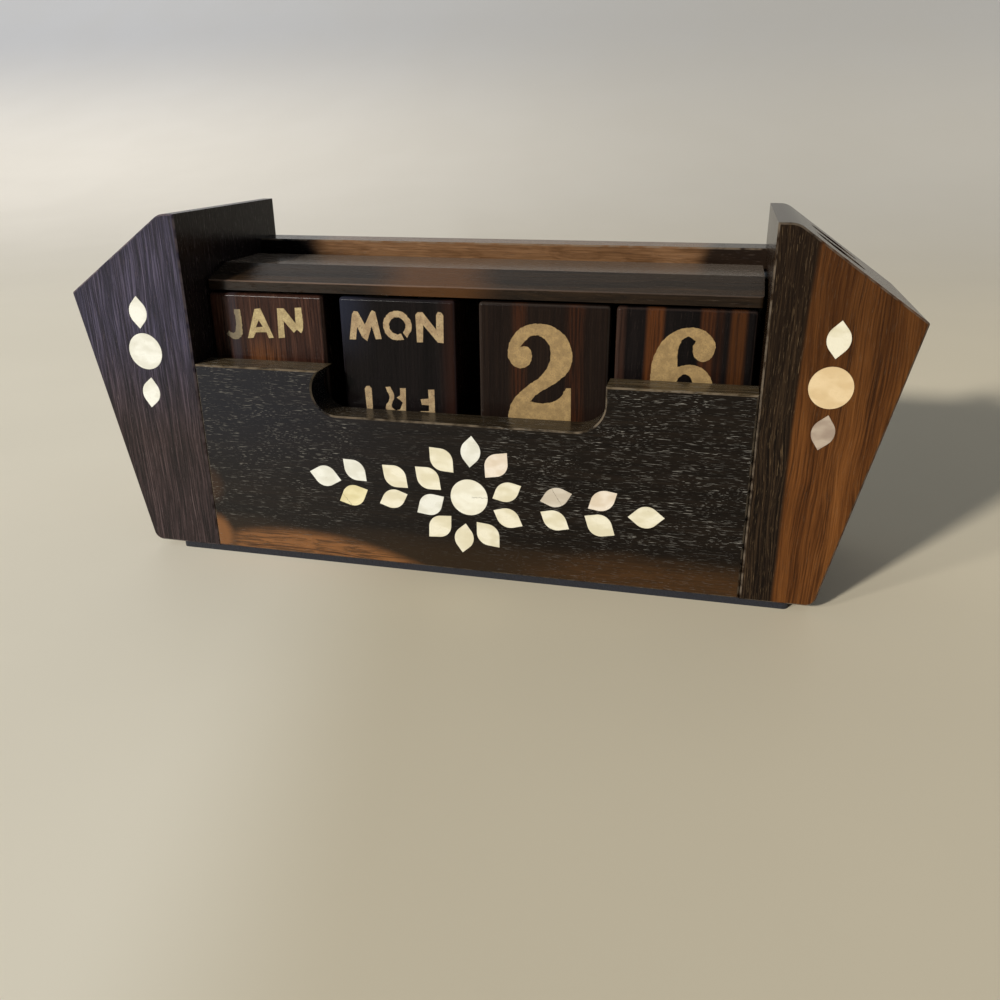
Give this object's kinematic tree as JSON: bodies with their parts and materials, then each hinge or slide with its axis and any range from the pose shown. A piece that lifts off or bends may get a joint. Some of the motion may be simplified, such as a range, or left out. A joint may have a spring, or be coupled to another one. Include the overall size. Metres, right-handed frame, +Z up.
{
  "type": "desk calendar with drawer",
  "caption": "Perpetual desk calendar: loose date blocks under a hinged lid, a shell-inlaid drawer below, kite-shaped wooden ends, one drilled to hold pens.",
  "frame": {"origin": "on the desk, under the middle of the calendar's width and depth", "axes": "+X to the right along the width, -Y out of the drawer front, +Z up"},
  "size_m": [0.1998, 0.051, 0.0878],
  "materials": {
    "case_wood": "satin",
    "block_wood": "satin",
    "mother_of_pearl": "polished",
    "felt": "matte",
    "pin_steel": "satin"
  },
  "bodies": {
    "case": {"back_wall": "case_wood", "base_board": "case_wood", "base_felt": "felt", "block_shelf": "case_wood", "left_end_block": "case_wood", "left_end_disc": "mother_of_pearl", "left_end_lower_leaf": "mother_of_pearl", "left_end_upper_leaf": "mother_of_pearl", "left_hinge_pin": "pin_steel", "right_end_block": "case_wood", "right_end_disc": "mother_of_pearl", "right_end_lower_leaf": "mother_of_pearl", "right_end_upper_leaf": "mother_of_pearl", "right_hinge_pin": "pin_steel"},
    "lid": {"lid": "case_wood"},
    "drawer": {"drawer_back": "case_wood", "drawer_bottom": "case_wood", "drawer_front": "case_wood", "drawer_left_side": "case_wood", "drawer_right_side": "case_wood", "flower_disc": "mother_of_pearl", "flower_petal_01": "mother_of_pearl", "flower_petal_02": "mother_of_pearl", "flower_petal_03": "mother_of_pearl", "flower_petal_04": "mother_of_pearl", "flower_petal_05": "mother_of_pearl", "flower_petal_06": "mother_of_pearl", "flower_petal_07": "mother_of_pearl", "flower_petal_08": "mother_of_pearl", "flower_petal_09": "mother_of_pearl", "flower_petal_10": "mother_of_pearl", "left_leaf_01": "mother_of_pearl", "left_leaf_02": "mother_of_pearl", "left_leaf_03": "mother_of_pearl", "left_leaf_04": "mother_of_pearl", "left_leaf_05": "mother_of_pearl", "right_leaf_01": "mother_of_pearl", "right_leaf_02": "mother_of_pearl", "right_leaf_03": "mother_of_pearl", "right_leaf_04": "mother_of_pearl", "right_leaf_05": "mother_of_pearl"},
    "month": {"month_block": "block_wood"},
    "day": {"day_block": "block_wood"},
    "tens": {"tens_block": "block_wood"},
    "units": {"units_block": "block_wood"}
  },
  "joints": [
    {"name": "drawer_slide", "type": "slide", "parent": "case", "child": "drawer", "axis": [0, -1, 0], "range_m": [0, 0.026]},
    {"name": "lid_hinge", "type": "hinge", "parent": "case", "child": "lid", "pos_m": [0, 0.0124, 0.0715], "axis": [-1, 0, 0], "range_deg": [0, 92]},
    {"name": "month_play", "type": "slide", "parent": "case", "child": "month", "axis": [1, 0, 0], "range_m": [-0.0005, 0.0017]},
    {"name": "day_play", "type": "slide", "parent": "case", "child": "day", "axis": [1, 0, 0], "range_m": [-0.0018, 0.0026]},
    {"name": "tens_play", "type": "slide", "parent": "case", "child": "tens", "axis": [1, 0, 0], "range_m": [-0.0027, 0.00045]},
    {"name": "units_play", "type": "slide", "parent": "case", "child": "units", "axis": [1, 0, 0], "range_m": [-0.00045, 0.0012]}
  ]
}
